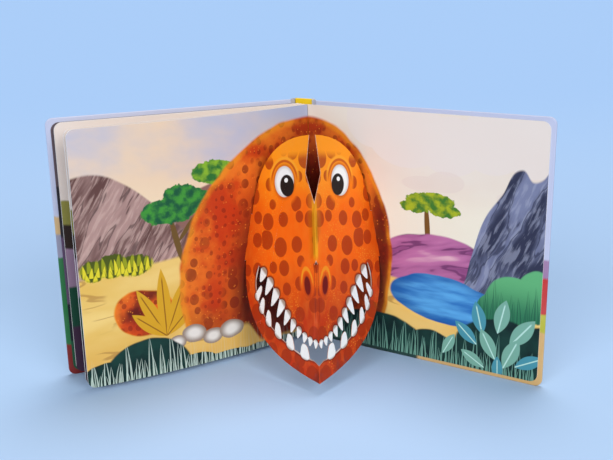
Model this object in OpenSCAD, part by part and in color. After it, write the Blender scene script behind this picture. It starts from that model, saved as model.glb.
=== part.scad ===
// Pop-up book standing open at its last spread.
// A hard case holds a fan of card leaves, and a folded card head stands out of the gutter.
// Millimetres, +Z up. The book opens towards -Y, and its origin is the foot of the spine.

/* [Covers] */
// Height of the covers and the spine
cover_h = 200; // [180:1:230]
// Width of each cover board, from its spine joint to its fore-edge
cover_w = 193; // [185:0.5:230]
// Thickness of the cover and spine boards
board_t = 2.5; // [1.8:0.1:3]
// Corner radius of the boards at the fore-edge
board_corner_r = 5.5; // [2:0.5:12]
// Turn of the front cover from the fold line of the spread, in degrees
front_turn = 67.9; // [66:0.1:72]

/* [Spine] */
// Width of the spine board
spine_w = 17.5; // [15:0.5:18.5]
// Gap between the front joint and the spine board, along the spine
spine_gap = 1; // [0.8:0.1:2]
// Hollow between the leaves' folds and the spine board
spine_hollow = 6; // [5.5:0.1:8]
// Turn of the spine board from square to the fold line, in degrees
spine_turn = 33.7; // [30:0.1:36]
// Thickness of the case paper where it bends at the two joints
joint_paper_t = 0.5; // [0.3:0.05:0.8]

/* [Leaves] */
// Thickness of one card leaf
leaf_t = 1; // [0.6:0.05:1.3]
// Thickness of the pages pasted on the two covers
pasted_t = 0.6; // [0.5:0.05:1]
// Leaf edge to cover edge at the head and the foot
page_margin = 3.2; // [2:0.1:6]
// Leaf edge to cover edge at the fore-edge
fore_margin = 3.4; // [2:0.1:8]
// Corner radius of the leaves at the fore-edge
page_corner_r = 6; // [2:0.5:12]
// Turn that each end of the bowed top leaf makes with its chord, in degrees
leaf_bow = 8.65; // [6:0.05:10]

/* [Opening] */
// Turn of each page from the fold line of the spread, in degrees
spread_half = 54.5; // [50:0.5:58]
// Gutter to the board of the back cover, along the page
back_joint = 7.2; // [6.5:0.1:8.5]
// Gutter to the board of the front cover
block_w = 14.6; // [13.5:0.1:16]
// Slope of the line from the gutter to the front cover's board, in degrees
block_slope = 31.8; // [30:0.1:34]

/* [Pop-up head] */
// Thickness of the folded card
card_t = 0.5; // [0.3:0.05:0.8]
// Height at which the gutter, the crease and the glue slits would meet
meet_h = 400; // [380:1:450]
// Gutter to the tip of the chin
chin_reach = 115; // [105:1:122]
// Height of the chin above the floor
chin_h = 9; // [5:0.5:14]
// Gutter to a glue slit, along the page at the slit's height
slit_reach = 62; // [60:0.5:66]
// Height at which that reach is measured
slit_mid_h = 97; // [90:1:104]
// Lower end of a glue slit, up the crease from the chin
slit_low = 90.5; // [88:0.5:96]
// Upper end of a glue slit, up the crease from the chin
slit_high = 126.5; // [118:0.5:128]
// Length of the head along its crease
head_len = 182; // [174:1:186]
// Half width of the head at the cheeks
cheek_w = 75; // [70:0.5:76]
// Half width of the open cut between the eyes
brow_cut_w = 8.1; // [4:0.1:12]
// Length of the open cut between the eyes, down from the top of the head
brow_cut_len = 51; // [40:0.5:54]
// Tip of the upper lip, up the crease from the chin
lip_tip = 29.5; // [28:0.5:34]
// Half width of the small vent above the snout
vent_w = 1.6; // [0.8:0.1:2.5]

/* [Teeth] */
// Teeth on each side of the upper lip
upper_teeth = 10; // [8:1:11]
// Length of the front upper tooth
upper_tooth_front = 4.6; // [3:0.1:6]
// Length of the back upper teeth
upper_tooth_back = 11.6; // [8:0.1:12]
// Length of the upper tooth at the mouth's corner
corner_tooth_len = 8.8; // [6:0.1:9]
// Teeth on each side of the jaw
lower_teeth = 6; // [4:1:6]
// Length of a jaw tooth
lower_tooth_len = 9; // [5:0.1:9.5]
// Width of the back jaw tooth at its root
lower_tooth_w = 7; // [4:0.1:7.5]
// Width that the front jaw tooth has beyond the back one
lower_tooth_gain = 3; // [0:0.1:3.5]

/* [Hidden] */

arc_steps = 720;
corner_steps = 48;
curve_steps = 14;
tooth_steps = 10;

// Clearances
fold_gap = 0.35;
hinge_gap = 0.25;
leaf_gap = 1.2;
slit_clear = 0.25;
tab_depth = 0.4;
edge_inset = 1.4;
over = 1;

// Sizes of the pages
page_h = cover_h - 2 * page_margin;
page_w = back_joint + cover_w - fore_margin;

function along(turn) = [-sin(turn), -cos(turn)];
function inward(turn) = [cos(turn), -sin(turn)];

// Front cover: its joint corner on the page side, its directions and its hinge line
front_corner = block_w * [-cos(block_slope), sin(block_slope)];
front_along = along(front_turn);
front_in = inward(front_turn);
front_axis = front_corner - (pasted_t + board_t) * front_in;

// Back cover: its frame runs along the page, with +Y behind the page
back_frame_turn = spread_half - 90;
function back_point(x, y) = [x * cos(back_frame_turn) - y * sin(back_frame_turn),
                             x * sin(back_frame_turn) + y * cos(back_frame_turn)];

// Spine board: along its width, and out of its back
spine_along = [cos(spine_turn), -sin(spine_turn)];
spine_out = [sin(spine_turn), cos(spine_turn)];
spine_start = front_axis + spine_hollow * spine_out + spine_gap * spine_along;
spine_foot = spine_start + spine_w / 2 * spine_along + board_t / 2 * spine_out;

// Case paper at the joints: where each strip leaves its cover and meets the spine
front_strip_bulge = 1;
back_strip_sag = 2;
paper_inset = joint_paper_t / 2;
front_strip_a = front_axis - hinge_gap * front_along + paper_inset * front_in;
front_strip_b = spine_start - hinge_gap * spine_along + (board_t - paper_inset) * spine_out;
back_strip_a = back_point(back_joint - hinge_gap, pasted_t + board_t - paper_inset);
back_strip_b = spine_start + (spine_w + hinge_gap) * spine_along + (board_t - paper_inset) * spine_out;

// Leaves: the top one starts at the gutter and the last one lies next to the front cover
leaf_count = 4;
fold_depth = 5.1;
fold_loss = 1.3;
fold_bar_t = 2;
fold_bar_start = 0.5;
fold_glue_t = 0.3;
fold_bar_inset = 1;
bowed_leaves = 2;
bow_loss = 0.6;
last_fold = front_corner + (leaf_gap + leaf_t) * front_in - fold_depth * front_along;
fold_along = last_fold / norm(last_fold);
fold_in = [-fold_along.y, fold_along.x];
top_leaf_turn = spread_half + leaf_bow * (1 - slit_reach / page_w);
second_leaf_swing = 0.9;
third_leaf_swing = 0.4;
last_leaf_swing = 0.1;
leaf_turns = [top_leaf_turn, top_leaf_turn + second_leaf_swing,
              front_turn + third_leaf_swing, front_turn + last_leaf_swing];

// Pop-up: the crease leans out from the meeting point, and each half swings back to its page
crease_slope = chin_reach / (meet_h - chin_h);
slit_slope = slit_reach / (meet_h - slit_mid_h);
crease_lean = atan(crease_slope);
half_fold = atan(cos(crease_lean) * (crease_slope - slit_slope * cos(spread_half))
                 / (slit_slope * sin(spread_half)));
meet_v = (meet_h - chin_h) / cos(crease_lean);
slit_ray = [slit_slope * sin(spread_half), -slit_slope * cos(spread_half), -1];
crease_ray = [0, -crease_slope, -1];
slit_spread = acos(slit_ray * crease_ray / (norm(slit_ray) * norm(crease_ray)));
function page_line(v) = (meet_v - v) * tan(slit_spread);

// Outline of one half of the head, across from the crease and up from the chin
cheek = [cheek_w, 82];
jaw_curve = [[0, 0], [42, 13], [77, 33], cheek];
brow_cut_top = 3.4;
crown_start = [page_line(slit_high) - edge_inset, slit_high];
crown_curve = [crown_start, [59.5, head_len - 21], [42, head_len + 2], [brow_cut_top, head_len]];
brow_cut_bend = [brow_cut_w, head_len - 28];
brow_cut_foot = [0, head_len - brow_cut_len];
mouth_corner = [60, 86];
lip_curve = [[0, lip_tip], [30, lip_tip + 4.5], [42, 73], mouth_corner];
notch_tip = 12.8;
notch_corner = [5.5, 16.5];
rim_curve = [notch_corner, [50, 29], [74, 61], mouth_corner];
vent_base = 87;
vent_h = 3.2;

// Teeth: root width as a share of the spacing, the lean of each row and the bluntness of the tips;
// the rim step is the short way along the rim that gives its direction
upper_root_share = 0.8;
upper_growth = 0.14;
upper_full = 6;
upper_lean_front = 8;
upper_lean_back = 29;
upper_span = 0.97;
upper_bluntness = 1.6;
lower_first = 0.066;
lower_last = 0.7;
lower_lean = 35;
rim_step = 0.01;
lower_bluntness = 3.4;

function bezier(p, t) = pow(1 - t, 3) * p[0] + 3 * t * pow(1 - t, 2) * p[1]
                      + 3 * t * t * (1 - t) * p[2] + pow(t, 3) * p[3];
function curve(p) = [for (i = [0 : curve_steps]) bezier(p, i / curve_steps)];

// A tooth rises between two points on its edge and comes to a blunt tip
function tooth(root_a, root_b, lean, length, bluntness) =
    [for (i = [0 : tooth_steps])
        let (s = i / tooth_steps, rise = 1 - pow(abs(2 * s - 1), bluntness))
            root_a + s * (root_b - root_a) + rise * length * lean];

// Place of the upper teeth along the lip: each one takes a little more room than the one before
function upper_place(i) = (i + upper_growth * i * (i - 1) / 2)
                        / (upper_teeth + upper_growth * upper_teeth * (upper_teeth - 1) / 2) * upper_span;
function upper_row() =
    [for (i = [0 : upper_teeth - 1])
        let (a = upper_place(i), b = upper_place(i + 1), slack = (b - a) * (1 - upper_root_share) / 2,
             share = min(1, i / upper_full),
             lean = upper_lean_front + (upper_lean_back - upper_lean_front) * share,
             grown = upper_tooth_front + (upper_tooth_back - upper_tooth_front) * share * share,
             length = i == upper_teeth - 1 ? corner_tooth_len : grown)
            each tooth(bezier(lip_curve, a + slack), bezier(lip_curve, b - slack),
                       [sin(lean), -cos(lean)], length, upper_bluntness)];

// The jaw teeth run from the mouth's corner to its front, the order in which the outline meets them
function lower_row() =
    [for (i = [lower_teeth - 1 : -1 : 0])
        let (share = i / (lower_teeth - 1),
             spacing = (lower_last - lower_first) / (lower_teeth - 1),
             place = lower_first + spacing * i,
             gum = bezier(rim_curve, place + spacing / 2),
             root = bezier(rim_curve, place),
             step = bezier(rim_curve, place + rim_step) - root,
             half = (lower_tooth_w + lower_tooth_gain * (1 - share)) / 2 * step / norm(step),
             lean = lower_lean * pow(share, 3))
            each concat([gum], tooth(root + half, root - half, [-sin(lean), cos(lean)],
                                     lower_tooth_len, lower_bluntness))];

function half_head() = concat(
    curve(jaw_curve),
    [[page_line(slit_low) - edge_inset, slit_low],
     [page_line(slit_low) + tab_depth, slit_low],
     [page_line(slit_high) + tab_depth, slit_high]],
    curve(crown_curve),
    [brow_cut_bend, brow_cut_foot,
     [0, vent_base + vent_h], [vent_w, vent_base], [0, vent_base], [0, lip_tip]],
    upper_row(),
    [mouth_corner, bezier(rim_curve, (1 + lower_last) / 2)],
    lower_row(),
    [notch_corner, [0, notch_tip]]);

// Puts a piece drawn about the gutter into the book's frame
module in_frame() {
    translate([-spine_foot.x, -spine_foot.y, 0]) children();
}

// A sheet outline with its two outer corners rounded, from x = start to x = w
module sheet_outline(start, w, h, r) {
    translate([start, 0]) square([w - start - r, h]);
    translate([w - r - over, r]) square([r + over, h - 2 * r]);
    for (y = [r, h - r]) translate([w - r, y]) circle(r = r, $fn = corner_steps);
}

// A standing sheet: its outline in X and Z, its thickness from y = 0 to y = t
module standing_sheet(start, w, h, r, t) {
    translate([0, t, 0]) rotate([90, 0, 0]) linear_extrude(t) sheet_outline(start, w, h, r);
}

module front_frame() {
    in_frame() translate([front_corner.x, front_corner.y, 0]) rotate([0, 0, -90 - front_turn]) children();
}

module back_frame() {
    in_frame() rotate([0, 0, back_frame_turn]) children();
}

// One half of the pop-up's frame: X across from the crease, Z up the crease, +Y behind the card
module popup_frame(side) {
    translate([0, -chin_reach, chin_h]) rotate([-crease_lean, 0, 0])
        mirror([side < 0 ? 1 : 0, 0, 0]) rotate([0, 0, half_fold]) children();
}

// The slot that a glue tab goes through, wider than the card all round
module tab_slot(side) {
    popup_frame(side) translate([0, card_t + slit_clear, 0]) rotate([90, 0, 0])
        linear_extrude(card_t + 2 * slit_clear)
            polygon([[page_line(slit_low) - over, slit_low - slit_clear],
                     [page_line(slit_low) + leaf_t + over / 2, slit_low - slit_clear],
                     [page_line(slit_high) + leaf_t + over / 2, slit_high + slit_clear],
                     [page_line(slit_high) - over, slit_high + slit_clear]]);
}

// A leaf runs to its fore-edge along X, with its face at y = 0 and its thickness behind
module flat_leaf(length) {
    translate([0, -leaf_t, 0]) standing_sheet(0, length, page_h, page_corner_r, leaf_t);
}

// A bowed leaf is a strip of a tall thin cylinder wall, trimmed to the page's outline
module bowed_leaf(length, bow) {
    chord = length * sin(bow) / (bow * PI / 180);
    bow_r = chord / (2 * sin(bow));
    rise = bow_r * (1 - cos(bow));
    intersection() {
        translate([chord / 2, rise - bow_r, 0]) difference() {
            cylinder(r = bow_r, h = page_h, $fn = arc_steps);
            translate([0, 0, -over]) cylinder(r = bow_r - leaf_t, h = page_h + 2 * over, $fn = arc_steps);
        }
        translate([0, -leaf_t - over, 0])
            standing_sheet(0, chord, page_h, page_corner_r, rise + leaf_t + 2 * over);
    }
}

module leaf(i) {
    start = last_fold * i / (leaf_count - 1);
    length = page_w - i * fold_loss;
    translate([start.x, start.y, page_margin]) rotate([0, 0, -90 - leaf_turns[i]]) {
        if (i < bowed_leaves) bowed_leaf(length, leaf_bow - i * bow_loss);
        else flat_leaf(length);
    }
}

// The glued folds that join the leaves
module fold_bar() {
    near = fold_bar_start * fold_along - fold_glue_t * fold_in;
    far = last_fold + fold_bar_start * fold_along - fold_glue_t * fold_in;
    translate([0, 0, page_margin + fold_bar_inset]) linear_extrude(page_h - 2 * fold_bar_inset)
        polygon([near, far, far + fold_bar_t * fold_in, near + fold_bar_t * fold_in]);
}

module page_block() {
    color("antiquewhite") in_frame() difference() {
        union() {
            for (i = [0 : leaf_count - 1]) leaf(i);
            fold_bar();
        }
        tab_slot(-1);
    }
}

module popup_head() {
    color("orangered") in_frame() for (side = [-1, 1])
        popup_frame(side) translate([0, card_t, 0]) rotate([90, 0, 0])
            linear_extrude(card_t) polygon(half_head());
}

module front_cover() {
    color("lavender") front_frame() translate([0, -pasted_t - board_t, 0])
        standing_sheet(0, cover_w, cover_h, board_corner_r, board_t);
}

module front_page() {
    color("wheat") front_frame() translate([0, -pasted_t, page_margin])
        standing_sheet(0, cover_w - fore_margin, page_h, page_corner_r, pasted_t);
}

module back_cover() {
    color("lavender") back_frame() translate([back_joint, pasted_t, 0])
        standing_sheet(0, cover_w, cover_h, board_corner_r, board_t);
}

module back_page() {
    color("bisque") difference() {
        back_frame() translate([0, 0, page_margin])
            standing_sheet(fold_gap, page_w, page_h, page_corner_r, pasted_t);
        in_frame() tab_slot(1);
    }
}

module spine() {
    color("gold") in_frame() translate([spine_start.x, spine_start.y, 0]) rotate([0, 0, -spine_turn])
        cube([spine_w, board_t, cover_h]);
}

// Case paper that crosses a joint, curving to one side between its two ends
module hinge_strip(a, b, curve_to) {
    run = (b - a) / norm(b - a);
    side = [-run.y, run.x] * joint_paper_t / 2;
    middle = (a + b) / 2 + curve_to;
    line = [for (i = [0 : curve_steps / 2])
        let (t = i / (curve_steps / 2)) pow(1 - t, 2) * a + 2 * t * (1 - t) * middle + t * t * b];
    outer = [for (p = line) p + side];
    inner = [for (i = [len(line) - 1 : -1 : 0]) line[i] - side];
    in_frame() linear_extrude(cover_h) polygon(concat(outer, inner));
}

module front_hinge_strip() {
    color("gold") hinge_strip(front_strip_a, front_strip_b, -front_strip_bulge * spine_along);
}

module back_hinge_strip() {
    color("gold") hinge_strip(back_strip_a, back_strip_b, -back_strip_sag * spine_along);
}

page_block();
popup_head();
front_cover();
front_page();
back_cover();
back_page();
spine();
front_hinge_strip();
back_hinge_strip();
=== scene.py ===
"""Dresses the pop-up book's CAD frame: printed pages, a wrapped case, a folded card head and a studio."""

import functools
import math

import bpy
from mathutils import Matrix, Vector


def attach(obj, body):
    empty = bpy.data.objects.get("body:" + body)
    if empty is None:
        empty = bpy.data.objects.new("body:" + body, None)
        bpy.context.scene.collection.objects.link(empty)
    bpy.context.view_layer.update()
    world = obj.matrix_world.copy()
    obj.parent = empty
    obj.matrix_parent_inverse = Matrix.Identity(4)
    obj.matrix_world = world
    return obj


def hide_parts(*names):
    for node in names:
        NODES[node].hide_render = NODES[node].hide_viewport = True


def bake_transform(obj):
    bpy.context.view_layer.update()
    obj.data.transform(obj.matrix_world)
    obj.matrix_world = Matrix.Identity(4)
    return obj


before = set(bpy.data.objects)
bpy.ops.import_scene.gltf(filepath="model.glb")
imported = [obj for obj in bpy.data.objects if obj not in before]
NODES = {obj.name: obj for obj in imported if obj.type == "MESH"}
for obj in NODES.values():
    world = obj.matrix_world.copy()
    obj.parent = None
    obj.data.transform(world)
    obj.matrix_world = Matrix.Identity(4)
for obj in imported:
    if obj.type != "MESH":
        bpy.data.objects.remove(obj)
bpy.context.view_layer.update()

bl_info = {
    "name": "Pop-up book",
    "version": (1, 0, 0),
    "blender": (4, 5, 0),
    "location": "3D View > Sidebar > Book",
    "description": "Builds a pop-up book that stands open, with its prints and its studio",
    "category": "Object",
}

MM = 0.001
UP = (0.0, 0.0, 1.0)
MERGE_GAP = 1e-6  # metres between points that are one
CORNER_STEPS, ROUND_STEPS = 10, 3  # facets of a board's corner, and of the paper over its edges
SHARP_ANGLE = math.radians(50)
SMOOTH_ANGLE, CARD_SMOOTH_ANGLE = math.radians(35), math.radians(30)
JOINT_STEPS = 90  # facets of a full turn of the back joint's paper
PRINT_SPAN = 200.0  # millimetres that a skyline's curve covers, both ways
FLAT_SPAN = 200.0  # millimetres that the head's flat map covers, both ways
FLOOR_SIZE = 60.0
FILL_TINT = (0.7, 0.86, 1.0, 1.0)

# Finishes of the papers: roughness, bump and the scale of the grain.
CASE_FINISH = (0.42, 0.25, 1.4)
PAGE_FINISH = (0.46, 0.2, 1.1)
HEAD_FINISH = (0.4, 0.18, 1.1)
CARD_FINISH = (0.6, 0.3, 1.1)
GRAIN_DEPTH = 0.0002
GLOSS_SWING = 0.14
PAPER_SHEEN = 0.18
BAND_SOFT = 1.2

# The head's print, in millimetres across from the crease and up from the chin.
SPOT_STRETCH, SPOT_SCATTER, SPOT_SOFT = (1.0, 1.15), 0.56, 0.025
EYE = (29.9, 149.5)
NOSTRIL = (9.3, 71.5)
LIP_LINE = ((0.0, 29.5), (30.0, 34.0), (42.0, 73.0), (60.0, 86.0))
RIM_LINE = ((5.5, 16.5), (50.0, 29.0), (74.0, 61.0), (60.0, 86.0))

# The mouth's edges round a place on the crease that is MOUTH_UP above the chin. Each point has a share of a
# quarter turn, from straight down to level, and its reach as a share of MOUTH_SPAN.
MOUTH_UP, MOUTH_SPAN = 95.0, 100.0
LIP_REACH = ((0, 0.655), (0.211, 0.599), (0.45, 0.531), (0.714, 0.524), (0.906, 0.607), (1, 0.66))
RIM_REACH = (
    (0, 0.787), (0.044, 0.787), (0.309, 0.745), (0.539, 0.73), (0.73, 0.698), (0.836, 0.653), (0.906, 0.607),
    (1, 0.55),
)


def srgb(red, green, blue):
    """A colour as a picture editor writes it, as linear values."""
    parts = [c / 255 for c in (red, green, blue)]
    return tuple(c / 12.92 if c <= 0.04045 else ((c + 0.055) / 1.055) ** 2.4 for c in parts) + (1.0,)


def number(name, description, default):
    """A plain number: a length in millimetres, or a strength."""
    return bpy.props.FloatProperty(name=name, description=description, default=default)


def angle(name, description, default):
    """An angle, given in degrees."""
    return bpy.props.FloatProperty(
        name=name, description=description, default=math.radians(default), subtype="ANGLE"
    )


def rgba(name, description, default):
    """A colour with its alpha."""
    return bpy.props.FloatVectorProperty(
        name=name, description=description, default=srgb(*default), subtype="COLOR", size=4, min=0, max=1
    )


class BookSizes(bpy.types.PropertyGroup):
    """Sizes of the case, the pages and the head, in millimetres."""

    gutter_x: number("Gutter X", "Fold line of the open spread, across", 1.44055)
    gutter_y: number("Gutter Y", "Fold line of the open spread, in depth", -11.1877)
    cover_w: number("Cover width", "Width of a cover board", 193.0)
    cover_h: number("Cover height", "Height of the boards", 200.0)
    board_t: number("Board thickness", "Thickness of the boards", 2.5)
    board_corner: number("Board corner", "Radius of a board's outer corners", 5.5)
    wrap_round: number("Wrap rounding", "Rounding of the paper over a board's edges", 0.7)
    front_x: number("Front corner X", "Page-side corner of the front cover, across", -10.968)
    front_y: number("Front corner Y", "Page-side corner of the front cover, in depth", -3.494)
    front_turn: angle("Front turn", "Turn of the front cover about the upright", -157.9)
    back_turn: angle("Back turn", "Turn of the back cover about the upright", -35.5)
    back_joint: number("Back joint", "Gutter to the back cover's board", 7.2)
    pasted_t: number("Pasted page", "Thickness of a page pasted on a cover", 0.6)
    spine_x: number("Spine X", "Start of the spine board, across", -7.973)
    spine_y: number("Spine Y", "Start of the spine board, in depth", 3.815)
    spine_w: number("Spine width", "Width of the spine board", 17.5)
    spine_turn: angle("Spine turn", "Turn of the spine board about the upright", -33.7)
    joint_reach: number("Joint reach", "Gutter to the back joint's paper", 7.2)
    joint_t: number("Joint paper", "Thickness of the paper at the joints", 0.4)
    joint_start: angle("Joint start", "Back page to the joint paper's edge at the cover", 21.5)
    joint_end: angle("Joint end", "Back page to the joint paper's edge at the spine", 91.5)
    page_foot: number("Page foot", "Height of the pages' lower edge", 3.2)
    leaf_chord_turn: angle("Top leaf turn", "Turn of the top leaf's chord from the fold line", 60.43)
    bow_centre_x: number("Bow centre X", "Centre of the top leaf's bow, across", -401.86)
    bow_centre_y: number("Bow centre Y", "Centre of the top leaf's bow, in depth", 501.0)
    bow_radius: number("Bow radius", "Radius of the top leaf's face", 651.8)
    head_fold: angle("Head fold", "Angle of each half of the head to the wall", 45.2715)
    head_lean: angle("Head lean", "Lean of the head's crease", 16.3895)
    chin_reach: number("Chin reach", "Gutter to the chin", 115.0)
    chin_h: number("Chin height", "Height of the chin", 9.0)
    head_len: number("Head length", "Length of the head up its crease", 182.0)
    bend_step: number("Bend step", "Width of the strips that the card bends in", 5.0)
    bend_rise: number("Bend rise", "Height of the strips that the card bends in", 13.0)
    middle_reach: number("Middle reach", "Flat half width over which the head's middle bends", 128.0)
    cheek_foot: number("Cheek foot", "Crease to the cheek's inner edge at the chin", 73.5)
    cheek_top: number("Cheek top", "Crease to the cheek's inner edge at the top", 17.6)
    tab_across: number("Tab across", "Crease to a glue tab's middle, on the flat card", 71.4)
    tab_up: number("Tab up", "Chin to a glue tab's middle, on the flat card", 108.0)


class BookColours(bpy.types.PropertyGroup):
    """Main colours of the print and the case."""

    skin: rgba("Skin", "Orange of the head", (250, 101, 8))
    skin_top: rgba("Brow", "Lighter orange of the brow", (255, 148, 18))
    skin_low: rgba("Snout", "Red orange of the snout and the jaw", (194, 52, 10))
    spots: rgba("Spots", "Dark spots on the skin", (164, 46, 8))
    shine: rgba("Shine", "Yellow line along the crease", (252, 178, 28))
    enamel: rgba("Teeth", "White of the teeth and the eyes", (244, 240, 234))
    ink: rgba("Ink", "Near black of the pupils", (30, 22, 20))
    sky_cool: rgba("Cool sky", "Lilac blue of the left sky", (190, 186, 199))
    sky_warm: rgba("Warm sky", "Peach of the sky", (238, 204, 170))
    sand: rgba("Sand", "Sandy ground", (228, 180, 84))
    bush: rgba("Bush", "Dark green of the undergrowth", (22, 58, 50))
    paper: rgba("Paper", "Cut edge of the card", (240, 234, 226))
    case: rgba("Case", "Lilac white of the case", (190, 192, 214))
    binding: rgba("Binding", "Yellow of the spine", (246, 206, 30))


class StudioSettings(bpy.types.PropertyGroup):
    """Camera, floor and light."""

    backdrop: rgba("Floor", "Pale blue of the floor", (166, 197, 236))
    floor_near: rgba("Near floor", "Paler blue of the floor near the camera", (178, 204, 235))
    horizon: rgba("Backdrop", "Pale blue behind the floor", (177, 210, 251))
    eye: bpy.props.FloatVectorProperty(
        name="Camera place", description="Where the camera stands", default=(-0.03207, -0.7204, 0.29593),
        subtype="TRANSLATION", size=3,
    )
    yaw: angle("Yaw", "Turn of the view to the right", 2.489)
    pitch: angle("Pitch", "Tilt of the view downwards", 15.948)
    roll: angle("Roll", "Roll of the view", -1.05)
    lens: bpy.props.FloatProperty(
        name="Lens", description="Focal length on a 36 mm sensor", default=52.51, subtype="DISTANCE_CAMERA"
    )
    key: number("Key", "Strength of each front lamp", 1.54)
    top: number("Top", "Strength of the lamp above", 1.8)
    softness: angle("Softness", "Angle over which a lamp spreads", 34.0)
    fill: number("Fill", "Strength of the even light", 0.18)


class Sock:
    """A node's output: each operator and method adds the nodes that work on it."""

    def __init__(self, net, out):
        self.net = net
        self.out = out

    def math(self, operation, *values):
        return self.net.add("ShaderNodeMath", {"operation": operation}, dict(enumerate(values)))

    def __add__(self, other):
        return self.math("ADD", self, other)

    def __sub__(self, other):
        return self.math("SUBTRACT", self, other)

    def __rsub__(self, other):
        return self.math("SUBTRACT", other, self)

    def __mul__(self, other):
        return self.math("MULTIPLY", self, other)

    def __truediv__(self, other):
        return self.math("DIVIDE", self, other)

    def __abs__(self):
        return self.math("ABSOLUTE", self)

    def least(self, other):
        return self.math("MINIMUM", self, other)

    def most(self, other):
        return self.math("MAXIMUM", self, other)

    def rise(self, low, high):
        """0 below low, 1 above high, eased between; low may be the greater."""
        settings = {"interpolation_type": "SMOOTHSTEP"}
        return self.net.add("ShaderNodeMapRange", settings, {0: self, 1: low, 2: high})

    def curve(self, points):
        """A curve through the points, from 0 to 1 both ways."""
        return self.net.add("ShaderNodeFloatCurve", {"points": points}, {"Value": self})

    def mix(self, first, second):
        """Two colours mixed by this factor."""
        return self.net.add("ShaderNodeMix", {"data_type": "RGBA"}, {0: self, 6: first, 7: second}, 2)

    def lay(self, mask, tint):
        """Lays a tint over this colour, where the mask is 1."""
        self.out = mask.mix(self, tint).out

    def vector(self, operation, *values, output=0, **named):
        """One step of vector arithmetic."""
        inputs = dict(enumerate((self, *values))) | named
        return self.net.add("ShaderNodeVectorMath", {"operation": operation}, inputs, output)

    def along(self, direction, start=0.0):
        """Distance of a place along a direction, from a start."""
        return self.vector("DOT_PRODUCT", direction, output="Value") - start

    def radius(self):
        """How far a place lies from the middle."""
        return self.vector("LENGTH", output="Value")

    def parts(self):
        """A vector's first two parts."""
        node = self.net.add("ShaderNodeSeparateXYZ", {}, {0: self}).out.node
        return Sock(self.net, node.outputs[0]), Sock(self.net, node.outputs[1])

    def shift(self, amount, scale):
        """The same places, pushed about by noise as a brush does."""
        inputs = {"Vector": self, "Scale": scale, "Detail": 2.0}
        push = self.net.add("ShaderNodeTexNoise", {}, inputs, "Color")
        offset = push.vector("MULTIPLY_ADD", (2 * amount, 2 * amount, 0.0), (-amount, -amount, 0.0))
        return self.vector("ADD", offset)

    def local(self, centre, radii, turn=0.0):
        """Places in the frame of a shape: its centre, its half sizes and its turn in degrees."""
        inputs = {
            "Vector": self,
            "Location": (*centre, 0.0),
            "Rotation": (0.0, 0.0, math.radians(turn)),
            "Scale": (*radii, 1.0)[:3],
        }
        return self.net.add("ShaderNodeMapping", {"vector_type": "TEXTURE"}, inputs)

    def reach(self, *shapes):
        """How far a place lies from the nearest oval's middle: 1 on the edge of the oval."""
        return functools.reduce(Sock.least, [self.local(*shape).radius() for shape in shapes])

    def oval(self, centre, radii, turn=0.0, soft=0.05):
        """A mask of an oval."""
        return self.ovals([(centre, radii, turn)], soft)

    def ovals(self, shapes, soft):
        """A mask of several ovals, each with a centre, half sizes and a turn."""
        return self.reach(*shapes).rise(1 + soft, 1 - soft)

    def blade(self, centre, radii, turn):
        """Masks of a leaf with two pointed ends, and of its middle rib."""
        x, y = self.local(centre, radii, turn).parts()
        y = abs(y)
        leaf = (x * x + y).rise(1.06, 0.96)
        return leaf, leaf * y.rise(0.13, 0.05) * x.rise(0.8, 0.6)

    def noise(self, scale, detail, stretch=(1.0, 1.0), turn=0.0):
        """Soft noise from 0 to 1, stretched along a turned direction."""
        drawn = self.local((0.0, 0.0), stretch, turn)
        return self.net.add("ShaderNodeTexNoise", {}, {"Vector": drawn, "Scale": scale, "Detail": detail})

    def cells(self, scale, randomness=1.0):
        """Distance to the nearest cell's point, and that cell's own number."""
        inputs = {"Vector": self, "Scale": scale, "Randomness": randomness}
        near = self.net.add("ShaderNodeTexVoronoi", {"voronoi_dimensions": "2D"}, inputs)
        tint = Sock(self.net, near.out.node.outputs["Color"])
        return near, self.net.add("ShaderNodeSeparateColor", {}, {0: tint})

    def blades(self, up, spacing, foot, height, width, seed):
        """A row of curved pointed blades: masks of the blades and of a pen line round each one."""
        phase = self / spacing + seed
        cell = phase.math("FLOOR", phase)
        tall, lean = (
            self.net.add("ShaderNodeTexWhiteNoise", {"noise_dimensions": "1D"}, {"W": cell + start}, "Value")
            for start in (0.0, 71.0)
        )
        high = (up - foot) / ((tall * 0.5 + 0.5) * height)
        side = (phase - cell - 0.5) * spacing - (lean - 0.5) * high * high * (0.6 * spacing)
        reach = abs(side) / ((1.02 - high * high).most(0.02) * width)
        inside = high.rise(-0.03, 0.03) * high.rise(1.0, 0.96)
        return reach.rise(1.1, 0.9) * inside, abs(reach - 1.0).rise(0.42, 0.14) * inside


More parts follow.
